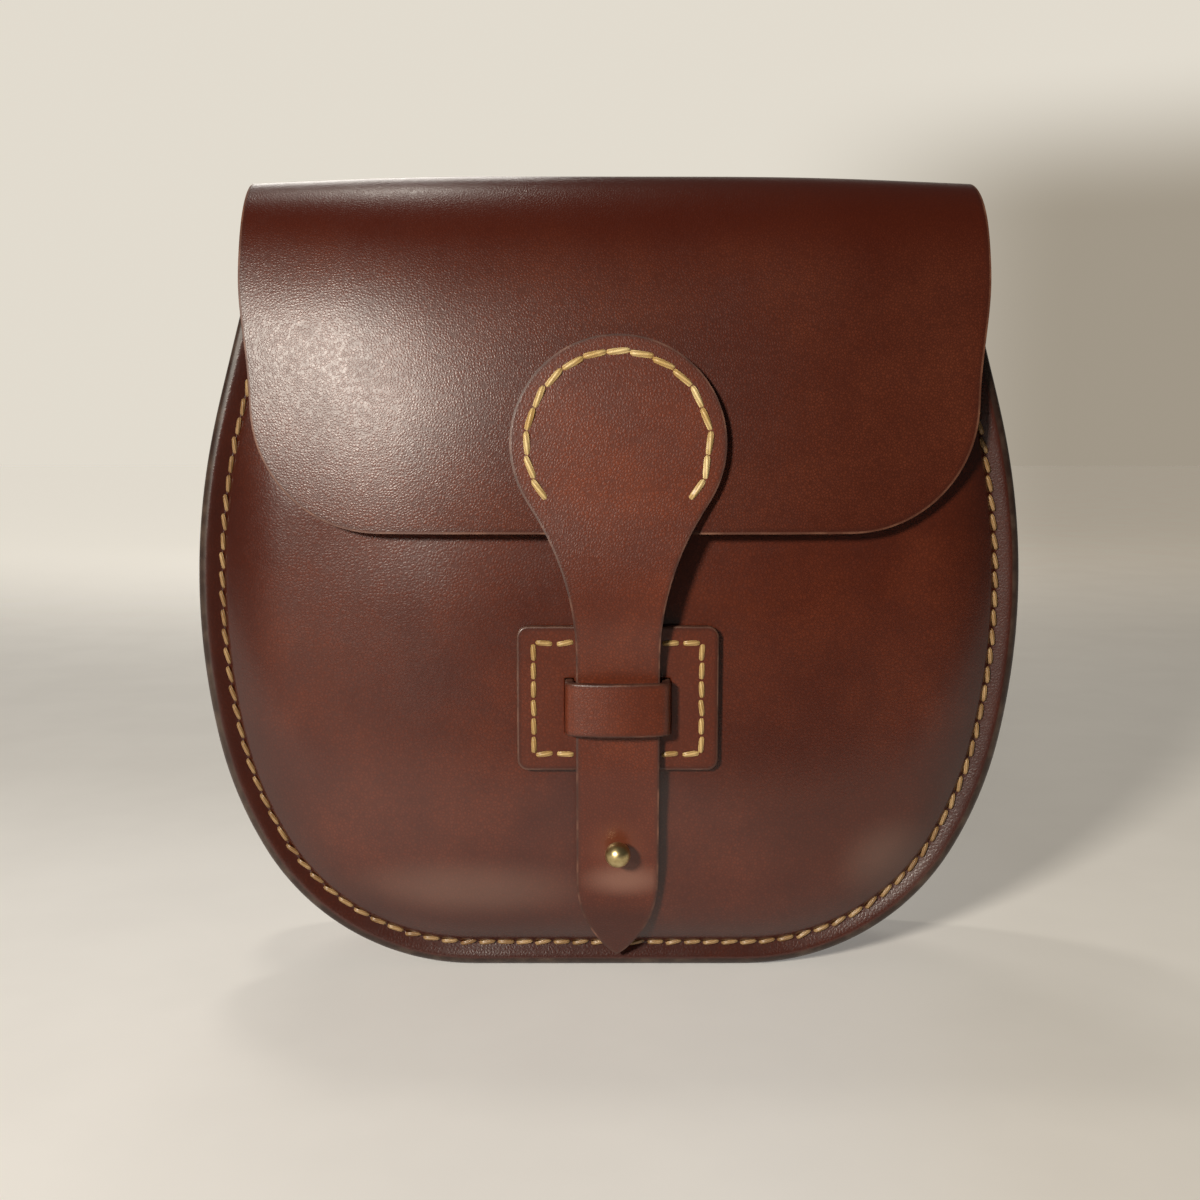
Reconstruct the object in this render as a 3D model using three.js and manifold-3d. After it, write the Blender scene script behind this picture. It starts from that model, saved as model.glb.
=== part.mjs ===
// A small leather crossbody bag that stands closed on its bottom seam: millimetres, +Z up, front facing -Y.
// A domed front panel and a flat back are sewn to a gusset that runs round the sides and the bottom.
// The back runs on over the top as the flap, and a strap sewn to the flap buttons on a brass stud.
// Until the last group shifts it, depth Y is measured from the front face of the front seam.

import * as THREE from "three";
import { LoftGeometry } from "three/addons/geometries/LoftGeometry.js";
import { mergeVertices } from "three/addons/utils/BufferGeometryUtils.js";
import Module from "manifold-3d";

const { degToRad, lerp, clamp, smoothstep } = THREE.MathUtils;

// Leather thicknesses, and the air left between pieces that lie on each other.
const LEATHER = 3;
const GUSSET_LEATHER = 2.5;
const TRIM_LEATHER = 2.4;
const GAP = 0.3;
const MERGE_DISTANCE = 1e-4;

// Right half of the sewn outline, from the middle of the foot to the mouth: straight runs and tangent arcs.
const OUTLINE = [
  { stretch: "foot", run: 41, steps: 2 },
  { stretch: "lower corner", radius: 71, turn: 60, steps: 9 },
  { stretch: "hip", radius: 114, turn: 18, steps: 3 },
  { stretch: "side", radius: 207.5, turn: 27.4, steps: 5 },
  { stretch: "shoulder", run: 30, steps: 2 },
];

// Front panel: a flat sewing margin, then a quick shoulder, then a slow crown over the whole front.
// Under the flap the dome sinks back by a share of its rise, so that the mouth lies nearly flat.
const SEWING_MARGIN = 7;
const SHOULDER = { rise: 8.5, spread: 26, power: 2.4 };
const CROWN = { rise: 4, spread: 75, power: 2 };
const PANEL_INSETS = [0, SEWING_MARGIN, 9, 12, 16, 21, 27, 34, 46, 60];
const PANEL_POLE_HEIGHT = 76;
const SLUMP = { from: 115, to: 190, share: 0.85 };

// Gusset: a channel whose wall stands inside the sewn edges.
const GUSSET_WALL_INSET = 10.5;
const GUSSET_BEND = 1.5;

// Back and flap: one piece, up the back, over a roll and down the front. Seen from the side, the roll is a
// row of tangent arcs that starts upwards at the back and ends at the flap's edge, leaning back a little.
const BACK_FACE = 44;
const ROLL_SPRING_HEIGHT = 216.9;
const ROLL = [
  { stretch: "back bend", radius: 17.8, turn: -90, steps: 5 },
  { stretch: "top", radius: 30, turn: -45, steps: 4 },
  { stretch: "front", radius: 45, turn: -27, steps: 4 },
  { stretch: "shoulder", radius: 130, turn: -7.5, steps: 2 },
  { stretch: "fall", radius: 775, turn: -4.5, steps: 5 },
];
const ROLL_HALF_WIDTH = 106;
const FLAP_HALF_WIDTH = 102.5;
const TAPER_TOP = 205;
const FLAP_SHIFT = 1.5;
const FLAP_CORNER_RADIUS = 36;
const FLAP_CORNER_STEPS = 7;
const FLAP_BOW = 8.6;
const BOW_POWER = 2.5;
const TOP_ARCH = 1.9;
const COLUMNS_PER_SIDE = 6;

// Closure, set a little right of the middle: strap, patch, loop and stud.
const CLOSURE_SHIFT = 2.4;
const HEAD_RADIUS = 29.8;
const HEAD_CENTRE_HEIGHT = 156.3;
const HEAD_STEPS = 10;
const HEAD_ANGLES = { first: 8, last: 122 };
const STRAP_HALF_WIDTH = 11.7;
const NECK = [
  { height: 131, half: 19.2 },
  { height: 124.5, half: 16 },
  { height: 117.5, half: 14 },
  { height: 109, half: 12.5 },
];
const TIP_START_HEIGHT = 31;
const TIP_ARC_RADIUS = 35;
const TIP_STEPS = 6;
const TIP_LENGTH = 25.8;
const PATCH = { width: 57, height: 41.4, centre: 84.6, corner: 4 };
const LOOP = { innerHalf: 12.5, height: 15, bottom: 75.2, corner: 3.8, slack: 1.2 };
const LOOP_BEND_STEPS = 4;
const STUD_HEIGHT = 41;
const STUD = { ball: 3.6, neck: 2, base: 4.5, baseThickness: 1.2, shank: 1.5, screwHead: 4.2 };
const STUD_NECK_LENGTH = 4.2;
const STUD_HOLE_CLEARANCE = 0.5;
const STUD_SIDES = 16;
const BALL_STEPS = 8;
const CUT_DEPTH = 4 * BACK_FACE;

const leather = new THREE.MeshStandardMaterial({ color: 0x643a30, roughness: 0.45, metalness: 0 });
const strapLeather = new THREE.MeshStandardMaterial({ color: 0x6e3a2a, roughness: 0.5, metalness: 0 });
const brass = new THREE.MeshStandardMaterial({ color: 0xb09a5a, roughness: 0.25, metalness: 1 });

const wasm = await Module();
wasm.setup();

// Merges shared corners and drops faces that have collapsed, which leaves one closed surface.
function weld(geometry) {
  const bare = new THREE.BufferGeometry();
  bare.setAttribute("position", geometry.attributes.position);
  bare.setIndex(geometry.index);
  const merged = mergeVertices(bare, MERGE_DISTANCE);
  const corners = merged.index.array;
  const kept = [];
  for (let i = 0; i < corners.length; i += 3) {
    const [a, b, c] = corners.slice(i, i + 3);
    if (a !== b && b !== c && c !== a) kept.push(a, b, c);
  }
  merged.setIndex(kept);
  merged.computeVertexNormals();
  return merged;
}

function toSolid(geometry) {
  const vertProperties = geometry.attributes.position.array;
  const triVerts = Uint32Array.from(geometry.index.array);
  return new wasm.Manifold(new wasm.Mesh({ numProp: 3, vertProperties, triVerts }));
}

// Cuts a tool's shape out of a welded geometry.
function cut(geometry, tool) {
  const mesh = toSolid(geometry).subtract(toSolid(weld(tool))).getMesh();
  const result = new THREE.BufferGeometry();
  result.setAttribute("position", new THREE.BufferAttribute(mesh.vertProperties, 3));
  result.setIndex(new THREE.BufferAttribute(mesh.triVerts, 1));
  result.computeVertexNormals();
  return result;
}

// Drills a round hole along Y, right through the bag's depth.
function drill(geometry, x, z, radius) {
  const drillBit = new THREE.CylinderGeometry(radius, radius, CUT_DEPTH, STUD_SIDES);
  return cut(geometry, drillBit.translate(x, 0, z));
}

// The same path moved sideways to its left, with mitred corners, so that a wall keeps its thickness.
function offsetPath(points, distance) {
  return points.map((point, i) => {
    const before = points[Math.max(i - 1, 0)];
    const after = points[Math.min(i + 1, points.length - 1)];
    const arriving = new THREE.Vector2().subVectors(point, before).normalize();
    const leaving = new THREE.Vector2().subVectors(after, point).normalize();
    const along = new THREE.Vector2().addVectors(arriving, leaving).normalize();
    const sideways = new THREE.Vector2(-along.y, along.x);
    const stretch = along.dot(i > 0 ? arriving : leaving);
    return sideways.multiplyScalar(distance / stretch).add(point);
  });
}

// Stations along straight runs and tangent arcs, each with its heading from +X; a positive turn bends left.
function walk(stretches, from) {
  const stations = [from];
  for (const { run = 0, radius = 0, turn = 0, steps } of stretches) {
    const start = stations.at(-1);
    const bend = radius * Math.sign(turn);
    for (let step = 1; step <= steps; step++) {
      const share = step / steps;
      const heading = start.heading + degToRad(turn) * share;
      const ahead = run * share;
      stations.push({
        x: start.x + ahead * Math.cos(heading) + bend * (Math.sin(heading) - Math.sin(start.heading)),
        z: start.z + ahead * Math.sin(heading) + bend * (Math.cos(start.heading) - Math.cos(heading)),
        heading,
      });
    }
  }
  return stations;
}

const rightHalf = walk(OUTLINE, { x: 0, z: 0, heading: 0 });
const leftHalf = rightHalf.slice(1).reverse().map(({ x, z, heading }) => ({ x: -x, z, heading: -heading }));
const outline = [...leftHalf, ...rightHalf];

// The roll seen from the side, and the part of it that hangs in front as the flap.
const rollFrom = { x: 0, z: ROLL_SPRING_HEIGHT, heading: degToRad(90) };
const rollLine = walk(ROLL, rollFrom).map(({ x, z }) => ({ height: z, depth: BACK_FACE - x }));
const rollTop = ROLL_SPRING_HEIGHT + ROLL[0].radius;
const flapLine = rollLine.slice(-ROLL.at(-1).steps - 1);
const flapEdge = rollLine.at(-1);

// Depth at a height on a line of rows that hangs down.
function depthAt(line, height) {
  const below = line.findIndex((row) => row.height <= height + MERGE_DISTANCE);
  const lower = line[below];
  const upper = line[below - 1];
  return lerp(lower.depth, upper.depth, (height - lower.height) / (upper.height - lower.height));
}

// The point at an inset from the sewn edge and a depth, seen at one station of the outline.
function atStation({ x, z, heading }, inset, depth) {
  return new THREE.Vector3(x - inset * Math.sin(heading), depth, z + inset * Math.cos(heading));
}

// How far the front panel stands forward of its seam at an inset from the sewn edge.
function panelRise(inset) {
  const lift = ({ rise, spread, power }) => {
    const share = clamp((inset - SEWING_MARGIN) / spread, 0, 1);
    return rise * (1 - (1 - share) ** power);
  };
  return lift(SHOULDER) + lift(CROWN);
}

const PANEL_FACE = -(SHOULDER.rise + CROWN.rise);

// The share of its rise by which the panel sinks back at a height.
function slumpAt(height) {
  return SLUMP.share * smoothstep(height, SLUMP.from, SLUMP.to);
}

// Front panel: at each station a wall from the middle of the panel out to the edge and back inside.
function frontPanel() {
  const outer = PANEL_INSETS.map((inset) => new THREE.Vector2(inset, -panelRise(inset)));
  outer.push(new THREE.Vector2(SEWING_MARGIN + CROWN.spread, PANEL_FACE));
  const inner = offsetPath(outer, LEATHER).slice(0, -1);
  outer.pop();
  const sections = outline.map((station) => {
    const innermost = PANEL_INSETS.at(-1);
    const middleHeight = Math.max(atStation(station, innermost, 0).z, PANEL_POLE_HEIGHT);
    const middleFace = PANEL_FACE * (1 - slumpAt(middleHeight));
    const sunk = ({ x, y }, i) => {
      const point = atStation(station, x, y);
      point.y -= outer[i].y * slumpAt(point.z);
      return point;
    };
    return [
      new THREE.Vector3(0, middleFace, middleHeight),
      ...outer.map(sunk).reverse(),
      ...inner.map(sunk),
      new THREE.Vector3(0, middleFace + LEATHER, middleHeight),
    ];
  });
  const wall = new LoftGeometry(sections, { closed: false, capStart: true, capEnd: true });
  return drill(weld(wall), CLOSURE_SHIFT, STUD_HEIGHT, STUD.shank + STUD_HOLE_CLEARANCE);
}

// Gusset: one channel section carried round the outline from mouth to mouth.
function gusset() {
  const front = LEATHER + GAP;
  const back = BACK_FACE - LEATHER - GAP;
  const wall = GUSSET_WALL_INSET;
  const inside = [
    new THREE.Vector2(0, front),
    new THREE.Vector2(wall - GUSSET_BEND, front),
    new THREE.Vector2(wall, front + GUSSET_BEND),
    new THREE.Vector2(wall, back - GUSSET_BEND),
    new THREE.Vector2(wall - GUSSET_BEND, back),
    new THREE.Vector2(0, back),
  ];
  const channel = [...offsetPath(inside, GUSSET_LEATHER), ...inside.reverse()];
  const sections = outline.map((station) => channel.map(({ x, y }) => atStation(station, x, y)));
  return weld(new LoftGeometry(sections, { capStart: true, capEnd: true }));
}

// Rows of the outer face of the back and flap, from the foot to the flap's edge. Middle is how far right a
// row's middle lies, and bow and drop are how far its ends lie behind and below that.
function backAndFlapRows() {
  const footEnd = OUTLINE[0].steps;
  const flat = { depth: BACK_FACE, middle: 0, bow: 0, drop: 0 };
  const rows = rightHalf.slice(footEnd).map(({ x, z }) => ({ half: x, z, ...flat }));
  const addRow = (half, depth, z) => {
    const share = (BACK_FACE - depth) / (BACK_FACE - flapEdge.depth);
    const drop = TOP_ARCH * smoothstep(z, ROLL_SPRING_HEIGHT, rollTop);
    rows.push({ half, depth, z, middle: FLAP_SHIFT * share, bow: FLAP_BOW * share ** 2, drop });
  };
  const cornerTop = flapEdge.height + FLAP_CORNER_RADIUS;
  for (const { height, depth } of rollLine) {
    if (height <= cornerTop + MERGE_DISTANCE) continue;
    const taper = smoothstep(height, cornerTop, TAPER_TOP);
    addRow(lerp(FLAP_HALF_WIDTH, ROLL_HALF_WIDTH, taper), depth, height);
  }
  for (let step = 0; step <= FLAP_CORNER_STEPS; step++) {
    const angle = degToRad(90) * (step / FLAP_CORNER_STEPS);
    const height = flapEdge.height + FLAP_CORNER_RADIUS * (1 - Math.sin(angle));
    const half = FLAP_HALF_WIDTH - FLAP_CORNER_RADIUS * (1 - Math.cos(angle));
    addRow(half, depthAt(flapLine, height), height);
  }
  return rows;
}

function backAndFlap() {
  const rows = backAndFlapRows();
  const outerFace = rows.map(({ depth, z }) => new THREE.Vector2(depth, z));
  const innerFace = offsetPath(outerFace, LEATHER);
  const across = (row, { x: depth, y: z }) => {
    const points = [];
    for (let column = -COLUMNS_PER_SIDE; column <= COLUMNS_PER_SIDE; column++) {
      const x = row.half * (column / COLUMNS_PER_SIDE);
      const sideways = Math.abs(x / Math.max(row.half, FLAP_HALF_WIDTH)) ** BOW_POWER;
      points.push(new THREE.Vector3(x + row.middle, depth + row.bow * sideways, z - row.drop * sideways));
    }
    return points;
  };
  const sections = rows.map((row, i) => {
    const inside = across(row, innerFace[i]);
    const outside = across(row, outerFace[i]);
    return [...inside, ...outside.reverse()];
  });
  return weld(new LoftGeometry(sections, { capStart: true, capEnd: true }));
}

// Depths that the closure's layers reach, worked out from what lies under them.
const PATCH_BACK = PANEL_FACE - GAP;
const PATCH_FACE = PATCH_BACK - TRIM_LEATHER;
const STUD_SEAT = -panelRise(STUD_HEIGHT + STUD.base) - GAP;
const STUD_BASE_FACE = STUD_SEAT - STUD.baseThickness;
const STUD_BALL_CENTRE = STUD_BASE_FACE - STUD_NECK_LENGTH - STUD.ball;
const STUD_FRONT = STUD_BALL_CENTRE - STUD.ball;

// How the back of the strap lies: on the flap, slack over its edge, on the patch and on the stud's base, and
// then down the panel's shoulder.
const STRAP_LIE = [
  ...flapLine.map(({ height, depth }) => ({ height, depth: depth - GAP })),
  { height: 122, depth: -18.6 },
  { height: 112, depth: -16.8 },
  { height: 104, depth: PATCH_FACE - GAP },
  { height: 62, depth: PATCH_FACE - GAP },
  { height: 47, depth: STUD_BASE_FACE - GAP },
  { height: 36, depth: STUD_BASE_FACE - GAP },
  { height: 26, depth: -11 },
  { height: 16, depth: -8 },
  { height: 5, depth: -4.8 },
];

// Outline of the strap from the top of its round head to its pointed tip.
function strapRows() {
  const rows = [];
  for (let step = 0; step <= HEAD_STEPS; step++) {
    const angle = degToRad(lerp(HEAD_ANGLES.first, HEAD_ANGLES.last, step / HEAD_STEPS));
    const height = HEAD_CENTRE_HEIGHT + HEAD_RADIUS * Math.cos(angle);
    rows.push({ height, half: HEAD_RADIUS * Math.sin(angle) });
  }
  rows.push(...NECK);
  for (const { height } of STRAP_LIE) {
    const alongStrap = height < NECK.at(-1).height && height > TIP_START_HEIGHT;
    if (alongStrap) rows.push({ height, half: STRAP_HALF_WIDTH });
  }
  for (let step = 0; step <= TIP_STEPS; step++) {
    const drop = TIP_LENGTH * (step / TIP_STEPS);
    const cutBack = TIP_ARC_RADIUS - Math.sqrt(TIP_ARC_RADIUS ** 2 - drop ** 2);
    rows.push({ height: TIP_START_HEIGHT - drop, half: STRAP_HALF_WIDTH - cutBack });
  }
  return rows;
}

function flapStrap() {
  const rows = strapRows();
  const backFace = rows.map(({ height }) => new THREE.Vector2(depthAt(STRAP_LIE, height), height));
  const frontFace = offsetPath(backFace, -LEATHER);
  const sections = rows.map(({ half }, i) => [
    new THREE.Vector3(half, frontFace[i].x, frontFace[i].y),
    new THREE.Vector3(-half, frontFace[i].x, frontFace[i].y),
    new THREE.Vector3(-half, backFace[i].x, backFace[i].y),
    new THREE.Vector3(half, backFace[i].x, backFace[i].y),
  ]);
  const strap = weld(new LoftGeometry(sections, { capStart: true, capEnd: true }));
  return drill(strap, 0, STUD_HEIGHT, STUD.neck + STUD_HOLE_CLEARANCE);
}

// Patch: a rounded rectangle with two slits that the loop's ends are sewn into.
function keeperPatch() {
  const { width, height, centre, corner } = PATCH;
  const right = width / 2 - corner;
  const top = height / 2 - corner;
  const face = new THREE.Shape();
  face.absarc(right, centre + top, corner, 0, degToRad(90));
  face.absarc(-right, centre + top, corner, degToRad(90), degToRad(180));
  face.absarc(-right, centre - top, corner, degToRad(180), degToRad(270));
  face.absarc(right, centre - top, corner, degToRad(270), degToRad(360));
  const thickness = { depth: TRIM_LEATHER, bevelEnabled: false, curveSegments: 3 };
  const sheet = new THREE.ExtrudeGeometry(face, thickness);
  let plate = weld(sheet.rotateX(degToRad(90)).translate(0, PATCH_BACK, 0));
  for (const side of [-1, 1]) {
    const slit = new THREE.BoxGeometry(TRIM_LEATHER + 2 * GAP, CUT_DEPTH, LOOP.height + 2 * GAP);
    const slitMiddle = LOOP.innerHalf + TRIM_LEATHER / 2;
    plate = cut(plate, slit.translate(side * slitMiddle, 0, LOOP.bottom + LOOP.height / 2));
  }
  return plate;
}

// Loop: an arch with round shoulders, seen from above, whose two ends sit in the patch's slits.
function keeperLoop() {
  const strapFront = PATCH_FACE - GAP - LEATHER;
  const arch = (half, front, corner) => {
    const path = new THREE.Path();
    path.moveTo(half, PATCH_BACK);
    path.absarc(half - corner, front + corner, corner, 0, degToRad(-90), true);
    path.absarc(corner - half, front + corner, corner, degToRad(-90), degToRad(-180), true);
    path.lineTo(-half, PATCH_BACK);
    return path.getPoints(LOOP_BEND_STEPS);
  };
  const underside = strapFront - LOOP.slack;
  const inner = arch(LOOP.innerHalf, underside, LOOP.corner - TRIM_LEATHER);
  const outer = arch(LOOP.innerHalf + TRIM_LEATHER, underside - TRIM_LEATHER, LOOP.corner);
  const face = new THREE.Shape([...outer, ...inner.reverse()]);
  const band = new THREE.ExtrudeGeometry(face, { depth: LOOP.height, bevelEnabled: false, steps: 1 });
  return band.translate(0, 0, LOOP.bottom);
}

// Stud: ball, neck and base outside the panel, a shank through it and a flat screw head inside.
function stud() {
  const screwSeat = LEATHER + GAP - panelRise(STUD_HEIGHT - STUD.screwHead);
  const neckAngle = Math.asin(STUD.neck / STUD.ball);
  const profile = [];
  for (let step = 0; step <= BALL_STEPS; step++) {
    const angle = lerp(0, Math.PI - neckAngle, step / BALL_STEPS);
    const radius = STUD.ball * Math.sin(angle);
    profile.push(new THREE.Vector2(radius, STUD_BALL_CENTRE - STUD.ball * Math.cos(angle)));
  }
  profile.push(new THREE.Vector2(STUD.neck, STUD_BASE_FACE));
  profile.push(new THREE.Vector2(STUD.base, STUD_BASE_FACE));
  profile.push(new THREE.Vector2(STUD.base, STUD_SEAT));
  profile.push(new THREE.Vector2(STUD.shank, STUD_SEAT));
  profile.push(new THREE.Vector2(STUD.shank, screwSeat));
  profile.push(new THREE.Vector2(STUD.screwHead, screwSeat));
  profile.push(new THREE.Vector2(STUD.screwHead, screwSeat + STUD.baseThickness));
  profile.push(new THREE.Vector2(0, screwSeat + STUD.baseThickness));
  return new THREE.LatheGeometry(profile, STUD_SIDES).translate(0, 0, STUD_HEIGHT);
}

function piece(name, geometry, material) {
  const mesh = new THREE.Mesh(geometry, material);
  mesh.name = name;
  return mesh;
}

const closure = new THREE.Group();
closure.position.x = CLOSURE_SHIFT;
closure.add(
  piece("flap_strap", flapStrap(), strapLeather),
  piece("keeper_patch", keeperPatch(), leather),
  piece("keeper_loop", keeperLoop(), strapLeather),
  piece("stud", stud(), brass),
);

// The whole bag, moved so that the middle of its footprint is the origin.
const bag = new THREE.Group();
bag.position.y = -(BACK_FACE + STUD_FRONT) / 2;
bag.add(
  piece("front_panel", frontPanel(), leather),
  piece("gusset", gusset(), leather),
  piece("back_and_flap", backAndFlap(), leather),
  closure,
);

export default bag;
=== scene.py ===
import math

import bmesh
import bpy
from mathutils import Matrix, Vector, noise


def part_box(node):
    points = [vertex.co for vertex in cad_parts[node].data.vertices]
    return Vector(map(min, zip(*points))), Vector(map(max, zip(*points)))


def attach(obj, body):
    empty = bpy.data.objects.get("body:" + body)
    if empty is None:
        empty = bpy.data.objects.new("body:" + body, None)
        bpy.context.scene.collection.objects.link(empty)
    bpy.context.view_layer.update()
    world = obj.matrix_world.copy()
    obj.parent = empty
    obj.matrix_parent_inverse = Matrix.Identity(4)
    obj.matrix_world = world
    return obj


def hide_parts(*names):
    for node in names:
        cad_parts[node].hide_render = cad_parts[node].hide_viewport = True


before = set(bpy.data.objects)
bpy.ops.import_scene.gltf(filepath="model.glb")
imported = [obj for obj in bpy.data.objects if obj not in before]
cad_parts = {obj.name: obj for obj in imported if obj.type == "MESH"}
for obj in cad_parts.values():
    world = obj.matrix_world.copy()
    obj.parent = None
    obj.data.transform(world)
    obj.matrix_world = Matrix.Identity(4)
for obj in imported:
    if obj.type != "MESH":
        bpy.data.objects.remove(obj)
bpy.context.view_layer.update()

# Front panel: one piece of 3 mm vegetable-tanned leather, moulded wet into a shallow dome inside a margin.
# The margin is sewn to the gusset, and both edges are sanded round together, dyed dark and burnished.
# Every piece is drawn in millimetres, with depth measured from the front face of this seam.
MM = 0.001
LEATHER = 3.0
seam_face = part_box("front_panel")[1].y - LEATHER * MM
TO_BAG_FRAME = Matrix.Translation((0, seam_face, 0)) @ Matrix.Scale(MM, 4)

FOOT = {"run": 41.0, "steps": 6}
LOWER_CORNER = {"radius": 71.0, "turn": 60.0, "steps": 14}
HIP = {"radius": 114.0, "turn": 18.0, "steps": 5}
SIDE = {"radius": 207.5, "turn": 27.4, "steps": 10}
SHOULDER = {"run": 30.0, "steps": 5}
OUTLINE = (FOOT, LOWER_CORNER, HIP, SIDE, SHOULDER)

SEAM_EDGE_ROUND = 3.3
SEAM_EDGE_STEPS = 5
STITCH_INSET = 7.5
STITCH_GROOVE = 0.8
GROOVE_SIDE = ((1.2, 0.6), (0.5, 0.9), (0.0, 1.0))
RIM_RISE = 1.1
SEWING_MARGIN = 7.6
DOME_SHOULDER = {"rise": 8.5, "spread": 26.0, "power": 2.4}
DOME_CROWN = {"rise": 4.0, "spread": 75.0, "power": 2.0}
DOME_INSETS = (8.6, 9.8, 11.5, 14.0, 17.0, 21.0, 25.0, 29.0, 34.0)
MIDDLE_STEPS = (0.22, 0.3, 0.4, 0.5, 1.0)
POLE_HEIGHT = 76.0
SLUMP = {"from": 140.0, "to": 192.0, "share": 0.85}
SIDE_PRESS = {"inner": 40.0, "outer": 85.0, "share": 0.28}
HEM_DIP = {"from": 102.0, "to": 150.0, "depth": 3.2}
PANEL_WAVES = {"height": 0.5, "size": 38.0, "from": 10.0, "to": 40.0}
FORWARD = Vector((0, -1, 0))


def new_sheet():
    """An empty mesh, and the layer for each point's inset: its distance in millimetres from the cut edge."""
    bm = bmesh.new()
    return bm, bm.verts.layers.float.new("inset")


def sweep(bm, section, stretches, start=(0, 0, 0), heading=0.0, level=(1, 0, 0), left=(0, 0, 1)):
    """Carries a section along straight runs and tangent arcs; a positive turn bends to the left."""
    side = Vector(left)
    across = Vector(level)
    station = Vector(start)
    angle = math.radians(heading)
    for stretch in stretches:
        turn = math.radians(stretch.get("turn", 0))
        radius = math.copysign(stretch.get("radius", 0), turn)
        run = stretch.get("run", 0)
        steps = stretch["steps"]
        ahead = across * math.cos(angle) + side * math.sin(angle)
        centre = station + radius * (side * math.cos(angle) - across * math.sin(angle))
        swept = bmesh.ops.spin(
            bm,
            geom=section,
            cent=centre,
            axis=across.cross(side),
            dvec=ahead * run / steps,
            angle=turn,
            steps=steps,
        )
        section = swept["geom_last"]
        angle += turn
        station = centre - radius * (side * math.cos(angle) - across * math.sin(angle)) + ahead * run
    return section


def mirror_sides(bm):
    """Adds the left half of a piece whose right half is drawn, and joins the two at the middle."""
    whole = bm.verts[:] + bm.edges[:] + bm.faces[:]
    bmesh.ops.mirror(bm, geom=whole, axis="X", merge_dist=0.001)


def chain(bm, inset, points):
    """A row of edges through points, each given as its inset from the cut edge and its depth."""
    verts = []
    for edge_inset, depth in points:
        vert = bm.verts.new((0, depth, edge_inset))
        vert[inset] = edge_inset
        verts.append(vert)
    edges = [bm.edges.new(pair) for pair in zip(verts, verts[1:])]
    return verts + edges


def extrude_row(bm, row):
    """Extrudes a row of edges: the new points, still in the old place, and the new row."""
    made = bmesh.ops.extrude_edge_only(bm, edges=row)["geom"]
    points = {item for item in made if isinstance(item, bmesh.types.BMVert)}
    edges = [item for item in made if isinstance(item, bmesh.types.BMEdge)]
    return points, [edge for edge in edges if points.issuperset(edge.verts)]


def fill_to_middle(bm, inset, depth_at):
    """Carries the inner edge of a swept sheet to the bag's middle line, ring by ring."""
    innermost = max(vert[inset] for vert in bm.verts)
    ring = [edge for edge in bm.edges if all(vert[inset] == innermost for vert in edge.verts)]
    for share in MIDDLE_STEPS:
        points, ring = extrude_row(bm, ring)
        for vert in points:
            middle = Vector((0, vert.co.y, max(vert.co.z, POLE_HEIGHT)))
            way = (middle - vert.co) * share
            vert.co += way
            vert[inset] += way.length
            vert.co.y = depth_at(vert[inset])
    bmesh.ops.remove_doubles(bm, verts=bm.verts, dist=0.2)


def face_out(bm, probe, direction):
    """Turns all faces the same way, so that the face nearest to a point looks in the given direction."""
    bmesh.ops.recalc_face_normals(bm, faces=bm.faces)
    nearest = min(bm.faces, key=lambda face: (face.calc_center_median() - Vector(probe)).length)
    if nearest.normal.dot(Vector(direction)) < 0:
        bmesh.ops.reverse_faces(bm, faces=bm.faces)


def dome_rise(edge_inset):
    """How far the moulded front stands out at an inset from its edge."""
    rise = 0.0
    for part in (DOME_SHOULDER, DOME_CROWN):
        share = min(max((edge_inset - SEWING_MARGIN) / part["spread"], 0), 1)
        rise += part["rise"] * (1 - (1 - share) ** part["power"])
    return rise


def ease(value, start, end):
    """A smooth step from 0 at start to 1 at end."""
    share = min(max((value - start) / (end - start), 0), 1)
    return share * share * (3 - 2 * share)


def waviness(point, size, seed):
    """A soft unevenness between -1 and 1, of about the given size in millimetres."""
    return noise.noise(Vector(point) / size + Vector((seed, seed, seed)))


class Shade:
    """A socket of a material's nodes: sums on it add Math nodes, and node() adds any other node."""

    def __init__(self, tree, socket=None):
        self.tree = tree
        self.socket = socket

    def node(self, kind, settings, values, output=0):
        made = self.tree.nodes.new("ShaderNode" + kind)
        for name, value in settings.items():
            setattr(made, name, value)
        for name, value in values.items():
            if isinstance(value, Shade):
                self.tree.links.new(value.socket, made.inputs[name])
            else:
                made.inputs[name].default_value = value
        return Shade(self.tree, made.outputs[output] if made.outputs else None)

    def math(self, operation, first, second):
        return self.node("Math", {"operation": operation}, {0: first, 1: second})

    def __add__(self, other):
        return self.math("ADD", self, other)

    def __radd__(self, other):
        return self.math("ADD", other, self)

    def __sub__(self, other):
        return self.math("SUBTRACT", self, other)

    def __rsub__(self, other):
        return self.math("SUBTRACT", other, self)

    def __mul__(self, other):
        return self.math("MULTIPLY", self, other)

    def __rmul__(self, other):
        return self.math("MULTIPLY", other, self)

    def ramp(self, start, end):
        """A smooth step from 0 at start to 1 at end."""
        values = {"Value": self, "From Min": start, "From Max": end}
        return self.node("MapRange", {"interpolation_type": "SMOOTHSTEP"}, values)

    def blend(self, low, high):
        """A colour between two, by this mask."""
        return self.node("Mix", {"data_type": "RGBA"}, {0: self, 6: low, 7: high}, 2)

    def cloud(self, size, detail):
        """Soft noise that varies over about the given size, on a place in millimetres."""
        values = {"Vector": self, "Scale": 1 / size, "Detail": detail, "Roughness": 0.55}
        return self.node("TexNoise", {}, values)

    def patches(self, size, detail, start, end):
        """A mask of soft patches: the noise is 0 below start and 1 above end."""
        return self.cloud(size, detail).ramp(start, end)


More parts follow.
